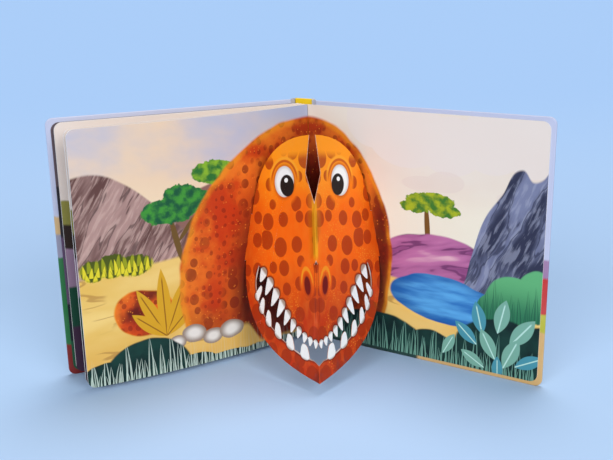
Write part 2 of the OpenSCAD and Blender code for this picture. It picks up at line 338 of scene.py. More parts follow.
class Net:
    """The node tree of one material."""

    def __init__(self, name, world=None):
        self.material = world or bpy.data.materials.new(name)
        self.material.use_nodes = True
        self.tree = self.material.node_tree
        self.tree.nodes.clear()

    def add(self, kind, settings, inputs, output=0):
        """A node of that type: its settings come first, then its sockets' values, links or plain colours."""
        node = self.tree.nodes.new(kind)
        for key, value in settings.items():
            if key == "points":
                self.bend(node.mapping, value)
            else:
                setattr(node, key, value)
        for key, value in inputs.items():
            socket = node.inputs[key]
            if isinstance(value, Sock):
                self.tree.links.new(value.out, socket)
            elif socket.type == "RGBA" and len(value) == 3:
                socket.default_value = srgb(*value)
            else:
                socket.default_value = value
        return Sock(self, node.outputs[output]) if node.outputs else None

    @staticmethod
    def bend(mapping, points):
        """Puts a curve's points in place."""
        curve = mapping.curves[0]
        for x, y in points[1:-1]:
            curve.points.new(x, y)
        curve.points[0].location = points[0]
        curve.points[-1].location = points[-1]
        mapping.update()

    def place(self):
        """Object coordinates in millimetres."""
        return self.add("ShaderNodeTexCoord", {}, {}, "Object").vector("SCALE", Scale=1 / MM)

    def facing(self, direction):
        """How far the surface faces a direction, from -1 to 1."""
        return self.add("ShaderNodeTexCoord", {}, {}, "Normal").along(direction)

    def spot(self, x, y):
        """A flat place out of its two parts."""
        return self.add("ShaderNodeCombineXYZ", {}, {0: x, 1: y})

    def finish(self, colour, roughness, bump, grain_scale):
        """The paper's surface: its colour, its gloss and its fine grain."""
        place = self.place()
        grain = place.noise(grain_scale, 4.0)
        normal = self.add("ShaderNodeBump", {}, {"Height": grain, "Strength": bump, "Distance": GRAIN_DEPTH})
        inputs = {
            "Base Color": colour,
            "Roughness": place.noise(0.05, 2.0) * GLOSS_SWING + (roughness - GLOSS_SWING / 2),
            "Specular IOR Level": PAPER_SHEEN,
            "Normal": normal,
        }
        shader = self.add("ShaderNodeBsdfPrincipled", {}, inputs)
        self.add("ShaderNodeOutputMaterial", {}, {"Surface": shader})
        return self.material


def skin_spots(flat, scale, low, spread):
    """Round spots of many sizes, a little taller than wide."""
    near, own = flat.local((0, 0), SPOT_STRETCH).cells(scale, SPOT_SCATTER)
    return (near - own * spread).rise(low + SPOT_SOFT, low - SPOT_SOFT)


def hill_mask(across, up, points, soft):
    """A mask of what lies under a skyline, whose points are in millimetres."""
    shape = [(x / PRINT_SPAN, y / PRINT_SPAN) for x, y in points]
    line = (across / PRINT_SPAN).curve(shape) * PRINT_SPAN
    return (line - up).rise(-soft, soft)


def tree(paint, flat, trunk, crown, tints):
    """A round-topped tree: a trunk, then a crown of a dark and a light tint."""
    bark, dark, light = tints
    paint.lay(flat.ovals(trunk, 0.12), bark)
    tint = flat.noise(0.16, 4).rise(0.36, 0.66).mix(dark, light)
    paint.lay(flat.shift(2.4, 0.28).ovals(crown, 0.04), tint)


def spiky_shrub(paint, flat, across, up, heads, foot, tints):
    """A low shrub of upright pointed leaves over a dark ground."""
    dark, middle, light = tints
    paint.lay(flat.shift(2, 0.3).ovals(heads, 0.06), dark)
    near = flat.ovals(heads, 0.2)
    for spacing, lift, height, width, seed, tint in (
        (5.2, 5, 15, 2.3, 0.3, middle),
        (4.6, 1, 13, 2, 0.8, light),
        (5.6, -3, 11, 2.4, 0.55, light),
    ):
        leaf, line = across.blades(up, spacing, foot + lift, height, width, seed)
        paint.lay(leaf * near, (line * 0.8).mix(tint, dark))


def orange_mound(flat, reach, shade):
    """Colour of a spotted mound; reach grows from its middle to 1 at its edge."""
    tone = flat.noise(0.03, 4)
    body = tone.rise(0.32, 0.66).mix((196, 56, 12), (228, 98, 24))
    body.lay(reach.rise(0.72, 0.9) * tone.rise(0.42, 0.58) * 0.6, (240, 128, 34))
    # Where shade is 1 the body is painted deep maroon: painted shade beside and behind the head on the
    # pages, random dark patches on the boulder.
    body.lay(shade * 0.9, (78, 14, 10))
    body.lay(skin_spots(flat, 0.085, 0.12, 0.3) * tone.rise(0.35, 0.6) * 0.75, (118, 28, 8))
    small = skin_spots(flat.shift(6, 0.02), 0.15, 0.1, 0.24)
    body.lay(small * tone.rise(0.6, 0.4) * 0.6, (132, 34, 10))
    fleck = flat.cells(0.2)[0].rise(0.13, 0.06) * flat.noise(0.09, 1).rise(0.5, 0.6)
    body.lay(fleck * 0.7, (240, 134, 44))
    body.lay(reach.rise(0.945, 0.985) * tone.rise(0.3, 0.55) * 0.65, (238, 146, 30))
    return body


def streaked_rock(flat, turn, broad, fine, tints):
    """Rock in slanting strokes; the broad and the fine ones have a scale, a stretch and two levels each."""
    dark, light, pale, ink = tints
    scale, stretch, low, high = broad
    streak = flat.noise(scale, 3, stretch, turn)
    rock = streak.rise(low, high).mix(dark, light)
    scale, stretch, low, high = fine
    rock.lay(flat.noise(scale, 4, stretch, turn).rise(low, high) * 0.5, pale)
    rock.lay(abs(streak - 0.5).rise(0.022, 0.006) * 0.6, ink)
    return rock


def undergrowth(paint, flat, across, up, bush, mask, pen):
    """Dark bushes with grass drawn over them in a pale pen."""
    depth = flat.noise(0.06, 2)
    paint.lay(mask, depth.rise(0.3, 0.7).mix((12, 34, 32), bush))
    for spacing, height, width, seed in ((8.6, 40, 1.9, 0.3), (6.7, 30, 1.5, 0.8), (5.3, 17, 1.3, 0.1)):
        line = across.blades(up, spacing, -4, height, width, seed)[1]
        paint.lay(line * mask.most(0.12) * 0.72, pen)


def ground(paint, flat, up, level, sand):
    """Sandy ground with a few dark lines along it."""
    tone = flat.noise(0.03, 3, (3, 1))
    earth = tone.rise(0.35, 0.7).mix(sand, (242, 204, 122))
    earth.lay(up.rise(48, 4) * 0.5, (226, 172, 92))
    lines = abs(flat.noise(0.05, 2, (5, 1)) - 0.5).rise(0.02, 0.006)
    earth.lay(lines * flat.noise(0.03, 1).rise(0.5, 0.62) * 0.6, (168, 116, 56))
    paint.lay(level, earth)


# The prints below are drawn in millimetres, across from the gutter and up from the page's foot.
def left_print(flat, across, up, colours):
    """The left page: a sky, round hills, trees, a mound and undergrowth."""
    brushed = flat.shift(3, 0.03)
    cloud = brushed.noise(0.022, 4, (1.6, 1), 12) + up.rise(130, 190) * 0.3 - 0.15
    paint = cloud.rise(0.36, 0.8).mix(colours.sky_warm, colours.sky_cool)
    paint.lay(brushed.oval((4, 194), (40, 20), 0, 0.7), (178, 182, 204))
    paint.lay(up.rise(158, 128) * 0.8, (244, 215, 176))
    far = [(0, 136), (40, 140), (74, 146), (104, 140), (128, 131), (156, 128), (197, 120)]
    paint.lay(hill_mask(across, up, far, 1), (140, 98, 86))
    near = [(0, 96), (96, 96), (116, 112), (138, 134), (160, 152), (178, 160), (200, 158)]
    broad, fine = (0.03, (0.35, 2.4), 0.36, 0.6), (0.11, (0.3, 2.2), 0.46, 0.62)
    browns = ((98, 64, 58), (176, 138, 128), (208, 172, 158), (62, 38, 36))
    paint.lay(hill_mask(across, up, near, 1.2), streaked_rock(brushed, 32, broad, fine, browns))
    level = hill_mask(across, up, [(0, 100), (70, 96), (130, 90), (200, 84)], 1.5)
    ground(paint, brushed, up, level, colours.sand)
    trunk = [((122, 104), (2.4, 18), -12), ((113, 112), (1.8, 12), 38)]
    crown = [((126, 127), (22, 10)), ((108, 132), (16, 10)), ((117, 137), (14, 9))]
    tree(paint, flat, trunk, crown, ((110, 80, 36), (24, 84, 52), (66, 146, 52)))
    trunk, crown = [((86, 134), (2, 14), 8)], [((88, 152), (19, 9)), ((80, 147), (16, 7))]
    tree(paint, flat, trunk, crown, ((96, 72, 30), (44, 110, 44), (134, 176, 44)))
    heads = [((172, 92), (12, 9)), ((156, 90), (14, 8)), ((186, 90), (9, 8))]
    limes = ((76, 84, 18), (150, 152, 26), (224, 206, 44))
    spiky_shrub(paint, flat, across, up, heads, 84, limes)
    boulder = brushed.reach(((150, 52), (24, 19), 14))
    shade = flat.noise(0.05, 2).rise(0.55, 0.3)
    paint.lay(boulder.rise(1.04, 0.97), orange_mound(flat, boulder, shade))
    for turn, size in ((62, 23), (88, 27), (112, 24), (136, 19), (40, 17)):
        middle = (134 + size * math.cos(math.radians(turn)), 30 + size * math.sin(math.radians(turn)))
        leaf, rib = flat.blade(middle, (size, 5.2), turn)
        paint.lay(leaf, rib.mix((214, 158, 32), (150, 96, 20)))
    dome = brushed.reach(((0, 60), (122, 124)))
    foot_line = up + across.rise(66, 50) * 18
    body = dome.rise(1.01, 0.99) * foot_line.rise(22, 27)
    # Painted shade: the mound turns deep maroon beside the head and in the gutter behind it, where the
    # head's shade falls, and darker towards its foot.
    dark = flat.oval((54, 66), (22, 64), 8, 0.6).most(flat.oval((0, 92), (30, 80), 0, 0.5))
    dark = dark.most(flat.oval((0, 30), (62, 50), 0, 0.4)).most(up.rise(56, 26) * 0.45)
    paint.lay(body, orange_mound(flat, dome, dark))
    stones = ((112, 27), (10, 7), 8), ((96, 22), (9, 6), -6), ((79, 24), (11, 7), 4), ((126, 23), (7, 5), 0)
    for shape in stones:
        stone = brushed.reach(shape)
        tint = stone.rise(0.3, 1).mix((232, 222, 210), (150, 128, 112))
        paint.lay(stone.rise(1.05, 0.97), tint)
    foot = [((150, 6), (34, 24)), ((182, 2), (20, 16)), ((112, 0), (22, 11)), ((86, -2), (26, 9))]
    low = (up + flat.noise(0.08, 2) * 6).rise(9, 7)
    mask = brushed.ovals(foot, 0.03).most(low)
    undergrowth(paint, flat, across, up, colours.bush, mask, (206, 222, 206))
    return paint


def right_print(flat, across, up, colours):
    """The right page: a pale cloudy sky, a purple hill, a rock, a pond and undergrowth."""
    brushed = flat.shift(3, 0.03)
    cloud = flat.noise(0.015, 3, (1.5, 1))
    paint = cloud.rise(0.3, 0.7).mix((234, 210, 190), (238, 224, 208))
    paint.lay(up.rise(150, 112) * 0.8, (244, 234, 210))
    billow = [((88, 176), (34, 25)), ((124, 170), (26, 22)), ((156, 176), (26, 24))]
    billow += [((186, 182), (26, 30)), ((60, 186), (24, 22))]
    paint.lay(flat.ovals(billow, 0.02) * 0.8, (236, 220, 209))
    drift = [((104, 140), (20, 6)), ((120, 143), (15, 8)), ((178, 136), (18, 6))]
    paint.lay(flat.ovals(drift, 0.05) * 0.5, (230, 208, 194))
    crown = [((108, 127), (20, 7)), ((96, 122), (13, 5)), ((120, 121), (13, 5))]
    tree(paint, flat, [((106, 106), (2.2, 20), 4)], crown, ((120, 78, 30), (64, 118, 40), (170, 180, 34)))
    hump = brushed.reach(((112, 60), (62, 42)))
    streak = brushed.noise(0.03, 3, (2.6, 0.5), 14)
    purple = streak.rise(0.38, 0.62).mix((118, 48, 104), (192, 112, 158))
    purple.lay(streak.rise(0.6, 0.68) * up.rise(72, 92), (238, 192, 196))
    purple.lay(abs(streak - 0.5).rise(0.02, 0.006) * 0.6, (86, 30, 78))
    paint.lay(hump.rise(1.02, 0.98), purple)
    skyline = [(0, 0), (134, 62), (142, 88), (152, 120), (164, 138), (178, 158), (188, 150), (200, 168)]
    broad, fine = (0.035, (0.45, 2.2), 0.36, 0.62), (0.12, (0.35, 2.2), 0.48, 0.62)
    greys = ((48, 50, 72), (124, 128, 156), (160, 162, 182), (30, 32, 56))
    paint.lay(hill_mask(across, up, skyline, 1.2), streaked_rock(brushed, -24, broad, fine, greys))
    level = hill_mask(across, up, [(0, 66), (80, 62), (140, 52), (200, 56)], 1.5)
    ground(paint, brushed, up, level, (240, 190, 96))
    pond = brushed.reach(((122, 50), (46, 19), -4))
    ripple = flat.noise(0.08, 3, (4, 0.7))
    water = ripple.rise(0.34, 0.66).mix((36, 104, 176), (92, 168, 222))
    water.lay(pond.rise(0.6, 1) * 0.5, (24, 76, 140))
    paint.lay(pond.rise(1.03, 0.98), water)
    leafy = brushed.ovals([((176, 60), (22, 19)), ((194, 66), (16, 20)), ((160, 52), (12, 12))], 0.04)
    paint.lay(leafy, up.rise(46, 78).mix((46, 116, 80), (98, 176, 116)))
    for spacing, height, seed in ((6.4, 44, 0.2), (5.2, 32, 0.7)):
        pen = across.blades(up, spacing, 38, height, 1.5, seed)[1]
        paint.lay(pen * leafy * 0.6, (30, 84, 62))
    dome = brushed.reach(((0, 72), (76, 112)))
    body = dome.rise(1.012, 0.988) * up.rise(24, 30)
    # Painted shade: the mound turns deep maroon beside the head and in the gutter behind it, where the
    # head's shade falls.
    shade = flat.oval((66, 80), (9, 60), 0, 0.7).most(flat.oval((0, 92), (34, 80), 0, 0.5))
    paint.lay(body, orange_mound(flat, dome, shade))
    foot = [((64, 4), (46, 27)), ((110, 2), (28, 22)), ((168, 8), (40, 36)), ((198, 14), (20, 30))]
    undergrowth(paint, flat, across, up, colours.bush, brushed.ovals(foot, 0.03), (120, 170, 150))
    sprays = (
        (150, 42, 13, 104), (168, 46, 14, 78), (184, 36, 15, 52), (140, 28, 12, 138), (158, 22, 13, 118),
        (176, 18, 14, 66), (190, 14, 12, 28), (126, 16, 10, 62), (146, 8, 11, 150), (166, 4, 10, 92),
    )
    for index, (x, y, size, turn) in enumerate(sprays):
        leaf, rib = flat.blade((x, y), (size, size * 0.42), turn)
        tint = (122, 172, 152) if index % 3 else (74, 146, 160)
        paint.lay(leaf, rib.mix(tint, (186, 224, 210)))
    return paint


def bezier(points, t):
    """A point on a curve with four control points."""
    weights = ((1 - t) ** 3, 3 * t * (1 - t) ** 2, 3 * t * t * (1 - t), t ** 3)
    return [sum(w * p[axis] for w, p in zip(weights, points)) for axis in (0, 1)]


def upper_roots():
    """The printed roots of the upper teeth: each one's place, half sizes and turn."""
    count, growth, span = 10, 0.14, 0.97
    whole = count + growth * count * (count - 1) / 2
    edge = [(i + growth * i * (i - 1) / 2) / whole * span for i in range(count + 1)]
    roots = []
    for low, high in zip(edge, edge[1:]):
        (ax, ay), (bx, by) = bezier(LIP_LINE, low), bezier(LIP_LINE, high)
        width = math.hypot(bx - ax, by - ay)
        place = ((ax + bx) / 2 + 0.1 * width, (ay + by) / 2 - 0.1 * width)
        roots.append((place, (0.41 * width, 0.5 * width), math.degrees(math.atan2(by - ay, bx - ax)) - 8))
    return roots


def lower_roots():
    """The printed roots of the jaw teeth."""
    first, last, count = 0.066, 0.7, 6
    roots = []
    for i in range(count):
        share = first + (last - first) * i / (count - 1)
        (ax, ay), (bx, by) = bezier(RIM_LINE, share), bezier(RIM_LINE, share + 0.01)
        half = 0.9 * (7 + 3 * (1 - i / (count - 1))) / 2
        turn = math.atan2(by - ay, bx - ax)
        place = (ax - 0.4 * math.sin(turn), ay + 0.4 * math.cos(turn))
        roots.append((place, (half, 2.8), math.degrees(turn)))
    return roots


def head_skin(flat, across, up, colours):
    """The head's orange skin, with brush marks and specks."""
    tone = flat.noise(0.03, 4)
    skin = (up + tone * 40 - 20).rise(96, 40).mix(colours.skin, colours.skin_low)
    skin.lay((up + tone * 50 - 25).rise(120, 172), colours.skin_top)
    skin.lay(across.rise(44, 74) * 0.55, colours.skin_low)
    brush = flat.noise(0.16, 4, (1, 2))
    skin.lay(brush.rise(0.35, 0.75) * 0.18, (246, 142, 44))
    speck, own = flat.cells(0.42)
    skin.lay((speck - own * 0.12).rise(0.14, 0.06) * tone.rise(0.48, 0.6) * 0.6, (250, 160, 48))
    return skin


def draw_eye(skin, folded, up, colours):
    """Spots round the eye's socket, then the folds of the lid, the white, the pupil and its glint."""
    socket = folded.reach((EYE, (10, 11.7)))
    clear = socket.rise(1.35, 1.75) * up.rise(172, 164)
    clear = clear * folded.oval((9, 76), (8, 15), 0, 0.2).rise(1, 0)
    skin.lay(skin_spots(folded, 0.07, 0.24, 0.24) * clear * 0.82, colours.spots)
    lids = socket.rise(1.66, 1.52) * socket.rise(1.36, 1.48) * up.rise(150, 158)
    skin.lay(lids * 0.8, (250, 164, 42))
    fold = socket.rise(1.44, 1.36) * socket.rise(1.2, 1.28) * up.rise(146, 156)
    skin.lay(fold * 0.8, (186, 66, 14))
    skin.lay(socket.rise(1.3, 1) * 0.5, (160, 50, 10))
    white = (socket.rise(0.7, 1) * 0.6).mix(colours.enamel, (190, 176, 168))
    skin.lay(socket.rise(1.02, 0.98), white)
    skin.lay(folded.oval((27.1, 146.3), (7.1, 8.3), -14), colours.ink)
    skin.lay(folded.oval((27.9, 150.4), (1.9, 1.7)), colours.enamel)


def draw_nose(skin, folded, across, up, colours):
    """The yellow line down the crease, painted shade along the snout's folded seam, and the nostril."""
    shine = across.rise(3.2, 1.6) * up.rise(88, 96) * up.rise(140, 126)
    skin.lay(shine, colours.shine)
    glow = across.rise(9, 2) * up.rise(84, 100) * up.rise(184, 160)
    skin.lay(glow * 0.45, (244, 140, 30))
    # Painted shade: dark lines where the snout's seam folds in.
    painted_fold_shade = across.rise(2.6, 2.1) * across.rise(1.5, 2) * up.rise(90, 84) * up.rise(42, 50)
    skin.lay(painted_fold_shade * 0.6, (130, 30, 10))
    nostril = folded.reach((NOSTRIL, (3.3, 7.5), -6))
    arch = nostril.rise(2, 1.8) * nostril.rise(1.4, 1.6) * up.rise(70, 78)
    skin.lay(arch * 0.9, (246, 150, 32))
    skin.lay(nostril.rise(1.5, 1) * 0.5, (170, 44, 10))
    skin.lay(nostril.rise(1.05, 0.8), (112, 22, 14))


def draw_mouth(skin, flat, folded, across, up, colours):
    """Dark lips along the mouth's edges, and the teeth with their roots."""
    out = folded.reach(((0, MOUTH_UP), (1, 1)))
    turn = across.math("ARCTAN2", across, MOUTH_UP - up) / (math.pi / 2)
    past_lip = out - turn.curve(LIP_REACH) * MOUTH_SPAN
    before_rim = turn.curve(RIM_REACH) * MOUTH_SPAN - out
    mouth = past_lip.rise(-0.5, 0.1) * before_rim.rise(-0.5, 0.1) * turn.rise(0.93, 0.91)
    gums = folded.reach(*upper_roots(), *lower_roots())
    lips = abs(past_lip).rise(2.4, 0.2).most(abs(before_rim).rise(2.4, 0.2)) * turn.rise(0.905, 0.885)
    lips = lips.most(gums.rise(1.5, 1.1) * turn.rise(0.95, 0.92))
    skin.lay(lips * 0.8, (92, 18, 10))
    roots = past_lip.rise(1, -2.6).most(before_rim.rise(1, -2.6)).most(gums.rise(0.8, 1.05) * 0.7)
    roots = roots * past_lip.rise(1.6, 0).most(before_rim.rise(1.6, 0))
    # The teeth turn warm grey towards their roots.
    root_grey = (roots + flat.noise(0.2, 2) * 0.2).rise(0.15, 1.2)
    skin.lay(mouth.most(gums.rise(1.08, 0.98)), root_grey.mix(colours.enamel, (168, 140, 120)))


def head_print(net, colours):
    """The head's print, on the card's own flat map: both halves are drawn alike."""
    flat = net.add("ShaderNodeUVMap", {"uv_map": "flat"}, {}).vector("SCALE", Scale=FLAT_SPAN)
    signed, up = flat.parts()
    across = abs(signed - FLAT_SPAN / 2)
    folded = net.spot(across, up)
    skin = head_skin(flat, across, up, colours)
    draw_eye(skin, folded, up, colours)
    draw_nose(skin, folded, across, up, colours)
    draw_mouth(skin, flat, folded, across, up, colours)
    return skin


def card_back(net, paper):
    """The card's plain side, with faint fibres."""
    fibre = net.place().noise(0.7, 4, (2.5, 1))
    return (fibre.rise(0.35, 0.7) * 0.5).mix(paper, (222, 206, 196))


def bands(height, paint, stops):
    """Fields of colour up an edge: each stop is the height under which its colour starts."""
    for level, colour in stops:
        paint = height.rise(level + BAND_SOFT, level - BAND_SOFT).mix(paint, colour)
    return paint


def wavy(up, here, scale, detail, swing):
    """A height that noise pushes up and down by at most half of the swing."""
    return up + here.noise(scale, detail) * swing - swing / 2


def leaf_edges(net, paper):
    """The pale cut edge of the board leaves, with faint plies."""
    ply = net.place().noise(0.9, 2, (1, 1, 30))
    return ply.rise(0.35, 0.7).mix(paper, (214, 204, 196))


def twin(context, source, name):
    """A copy of an object, with a mesh of its own."""
    piece = source.copy()
    piece.data = source.data.copy()
    piece.name = name
    context.scene.collection.objects.link(piece)
    return piece


def select_only(context, piece):
    """Selects one object and makes it the active one."""
    bpy.ops.object.select_all(action="DESELECT")
    piece.select_set(True)
    context.view_layer.objects.active = piece


def wrapped_board(context, name, size, corner, rounding, place, turn):
    """A board in its paper: a slab with two round outer corners and softly rounded edges."""
    bpy.ops.object.select_all(action="DESELECT")
    bpy.ops.mesh.primitive_cube_add(size=1.0, location=(0.0, 0.0, 0.0))
    board = context.object
    board.name = name
    board.scale = [s * MM for s in size]
    board.location = [s * MM / 2 for s in size]
    bpy.ops.object.transform_apply(location=True, rotation=True, scale=True)
    far = size[0] * MM
    bpy.ops.object.mode_set(mode="EDIT")
    bpy.ops.mesh.select_mode(type="EDGE")
    bpy.ops.mesh.select_all(action="DESELECT")
    bpy.ops.object.mode_set(mode="OBJECT")
    verts = board.data.vertices
    for edge in board.data.edges:
        a, b = (verts[i].co for i in edge.vertices)
        edge.select = corner > 0 and min(a.x, b.x) > far - MERGE_GAP and abs(a.y - b.y) > MERGE_GAP
    bpy.ops.object.mode_set(mode="EDIT")
    if corner > 0:
        bpy.ops.mesh.bevel(offset=corner * MM, segments=CORNER_STEPS, affect="EDGES")
    bpy.ops.mesh.select_all(action="DESELECT")
    bpy.ops.mesh.edges_select_sharp(sharpness=SHARP_ANGLE)
    bpy.ops.mesh.bevel(offset=rounding * MM, segments=ROUND_STEPS, affect="EDGES")
    bpy.ops.object.mode_set(mode="OBJECT")
    board.rotation_euler = (0.0, 0.0, turn)
    board.location = [p * MM for p in place]
    bpy.ops.object.transform_apply(location=True, rotation=True, scale=True)
    bpy.ops.object.shade_smooth_by_angle(angle=SMOOTH_ANGLE)
    return board


def case_print(net, colours, place, turn, start, stops, foot):
    """The case's paper: plain outside, with the fields of colour that show round the pages."""
    here = net.place()
    height = here.along(UP)
    ahead = (math.cos(turn), math.sin(turn), 0.0)
    along = here.along(ahead, Vector(place).dot(Vector(ahead)) + start)
    paint = bands(wavy(height, here, 0.06, 3.0, 6.0), colours.case, stops)
    if foot:
        bush = net.spot(along, height).shift(2.5, 0.05).oval((0, 0), (foot, 44), 0, 0.02)
        paint.lay(bush, colours.bush)
    tone = here.noise(0.03, 3.0)
    return (tone.rise(0.3, 0.8) * 0.05).mix(paint, (250, 250, 252))


def brushed_paper(name, colour, tint):
    """Paper of the spine and the joints: one colour, with upright strokes of another."""
    net = Net(name)
    tone = net.place().noise(0.04, 3.0, (1.0, 1.0, 4.0))
    return net.finish(tone.rise(0.3, 0.75).mix(colour, tint), *CASE_FINISH)


class BOOK_OT_covers(bpy.types.Operator):
    """Makes the two paper-wrapped cover boards"""

    bl_idname = "book.covers"
    bl_label = "Cover boards"

    def execute(self, context):
        sizes, colours = context.scene.book_sizes, context.scene.book_colours
        front = (
            "front_board", "front_cover", (sizes.front_x, sizes.front_y, 0.0), sizes.front_turn, 0.0,
            -sizes.pasted_t - sizes.board_t, 0.0,
            [(128, (206, 170, 122)), (114, (150, 146, 164)), (96, (44, 112, 62)), (26, (128, 34, 30))],
        )
        back = (
            "back_board", "back_cover", (sizes.gutter_x, sizes.gutter_y, 0.0), sizes.back_turn,
            sizes.back_joint, sizes.pasted_t, 92.0,
            [(98, (158, 120, 156)), (84, (196, 44, 40)), (58, (186, 180, 52)), (43, (212, 170, 110))],
        )
        for name, body, place, turn, start, depth, foot, stops in (front, back):
            across = Vector((start, depth, 0.0))
            across.rotate(Matrix.Rotation(turn, 3, "Z"))
            size = (sizes.cover_w, sizes.board_t, sizes.cover_h)
            board = wrapped_board(
                context, name, size, sizes.board_corner, sizes.wrap_round, Vector(place) + across, turn
            )
            net = Net(name + "_paper")
            paint = case_print(net, colours, place, turn, start, stops, foot)
            board.data.materials.append(net.finish(paint, *CASE_FINISH))
            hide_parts(body)
            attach(board, body)
        return {"FINISHED"}


class BOOK_OT_spine(bpy.types.Operator):
    """Makes the spine board and gives the joint papers their finish"""

    bl_idname = "book.spine"
    bl_label = "Spine"

    def execute(self, context):
        sizes, colours = context.scene.book_sizes, context.scene.book_colours
        size = (sizes.spine_w, sizes.board_t, sizes.cover_h)
        place = (sizes.spine_x, sizes.spine_y, 0.0)
        spine = wrapped_board(context, "spine_board", size, 0.0, sizes.wrap_round, place, sizes.spine_turn)
        spine.data.materials.append(brushed_paper("spine_paper", colours.binding, (232, 186, 20)))
        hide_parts("spine")
        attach(spine, "spine")
        joint = brushed_paper("joint_paper", colours.case, (206, 206, 222))
        NODES["front_hinge_strip"].data.materials.clear()
        NODES["front_hinge_strip"].data.materials.append(joint)
        self.bend_joint(context, sizes, joint)
        return {"FINISHED"}

    def bend_joint(self, context, sizes, paper):
        """The back joint's paper: an arc about the gutter, from the cover's edge to under the spine."""
        gutter = Vector((sizes.gutter_x, sizes.gutter_y, sizes.cover_h / 2)) * MM
        bpy.ops.object.select_all(action="DESELECT")
        bpy.ops.mesh.primitive_cylinder_add(
            vertices=JOINT_STEPS, radius=sizes.joint_reach * MM, depth=sizes.cover_h * MM,
            end_fill_type="NOTHING", location=gutter,
        )
        strip = context.object
        strip.name = "back_joint_paper"
        bpy.ops.object.transform_apply(location=True, rotation=True, scale=True)
        bpy.ops.object.mode_set(mode="EDIT")
        for turn, before in ((sizes.joint_start, True), (sizes.joint_end, False)):
            turn += sizes.back_turn
            bpy.ops.mesh.select_all(action="SELECT")
            bpy.ops.mesh.bisect(
                plane_co=gutter,
                plane_no=(-math.sin(turn), math.cos(turn), 0.0),
                clear_inner=before,
                clear_outer=not before,
            )
        bpy.ops.object.mode_set(mode="OBJECT")
        wall = strip.modifiers.new("thickness", "SOLIDIFY")
        wall.thickness = sizes.joint_t * MM
        wall.offset = -1.0
        bpy.ops.object.modifier_apply(modifier=wall.name)
        bpy.ops.object.shade_smooth_by_angle(angle=SMOOTH_ANGLE)
        strip.data.materials.append(paper)
        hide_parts("back_hinge_strip")
        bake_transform(strip)


class BOOK_OT_pages(bpy.types.Operator):
    """Prints the pages"""

    bl_idname = "book.pages"
    bl_label = "Page prints"

    def execute(self, context):
        sizes, colours = context.scene.book_sizes, context.scene.book_colours
        gutter = Vector((sizes.gutter_x, sizes.gutter_y, sizes.page_foot))
        self.print_block(sizes, colours, gutter)
        self.print_back(sizes, colours, gutter)
        self.print_front_and_shade()
        return {"FINISHED"}

    def flat_place(self, net, ahead, gutter):
        """Place on a page: across from the gutter and up from its foot."""
        here = net.place()
        across = here.along(ahead, gutter.dot(Vector(ahead)))
        up = here.along(UP, gutter.z)
        return here, across, up, net.spot(across, up)

    def finish_on(self, name, net, paint):
        """Gives a print to a piece that stays as it was packed."""
        node = NODES[name]
        node.data.materials.clear()
        node.data.materials.append(net.finish(paint, *PAGE_FINISH))

    def print_block(self, sizes, colours, gutter):
        """The top leaf's print, the edges of the prints under it, the cut edges and the plain backs."""
        net = Net("leaf_print")
        turn = sizes.leaf_chord_turn
        here, across, up, flat = self.flat_place(net, (-math.sin(turn), -math.cos(turn), 0.0), gutter)
        paint = left_print(flat, across, up, colours)
        stops = [
            (136, (150, 142, 70)), (118, (54, 40, 34)), (100, (160, 128, 150)), (70, (30, 74, 54)),
            (38, (70, 46, 66)),
        ]
        below = bands(wavy(up, here, 0.05, 2.0, 10.0), (238, 220, 208), stops)
        # Faces nearer to the bow's centre than the top leaf's own show the prints under it.
        away = here.vector("SUBTRACT", (sizes.bow_centre_x, sizes.bow_centre_y, 0.0))
        level = away.vector("MULTIPLY", (1.0, 1.0, 0.0)).radius()
        paint = level.rise(sizes.bow_radius - 0.6, sizes.bow_radius - 0.3).mix(below, paint)
        front = net.facing((math.cos(turn), -math.sin(turn), 0.0))
        back = here.noise(0.03, 2.0).mix((236, 228, 218), (226, 214, 200))
        paint = front.rise(0.4, 0.6).mix(leaf_edges(net, colours.paper), paint)
        self.finish_on("page_block", net, front.rise(-0.4, -0.6).mix(paint, back))

    def print_back(self, sizes, colours, gutter):
        """The right-hand page's print, with its cut edges."""
        net = Net("back_page_print")
        turn = sizes.back_turn
        _, across, up, flat = self.flat_place(net, (math.cos(turn), math.sin(turn), 0.0), gutter)
        paint = right_print(flat, across, up, colours)
        front = net.facing((math.sin(turn), -math.cos(turn), 0.0)).rise(0.4, 0.6)
        self.finish_on("back_page", net, front.mix(leaf_edges(net, colours.paper), paint))

    def print_front_and_shade(self):
        """Plain fields of dark colour on the page inside the front cover, partly painted shade of the gap
        between the cover and the leaves.
        """
        net = Net("front_page_print_and_shade")
        here = net.place()
        stops = [(150, (44, 40, 44)), (112, (96, 74, 100)), (60, (30, 34, 40)), (30, (34, 84, 58))]
        paint = bands(wavy(here.along(UP), here, 0.05, 2.0, 10.0), (96, 80, 84), stops)
        self.finish_on("front_page", net, paint)


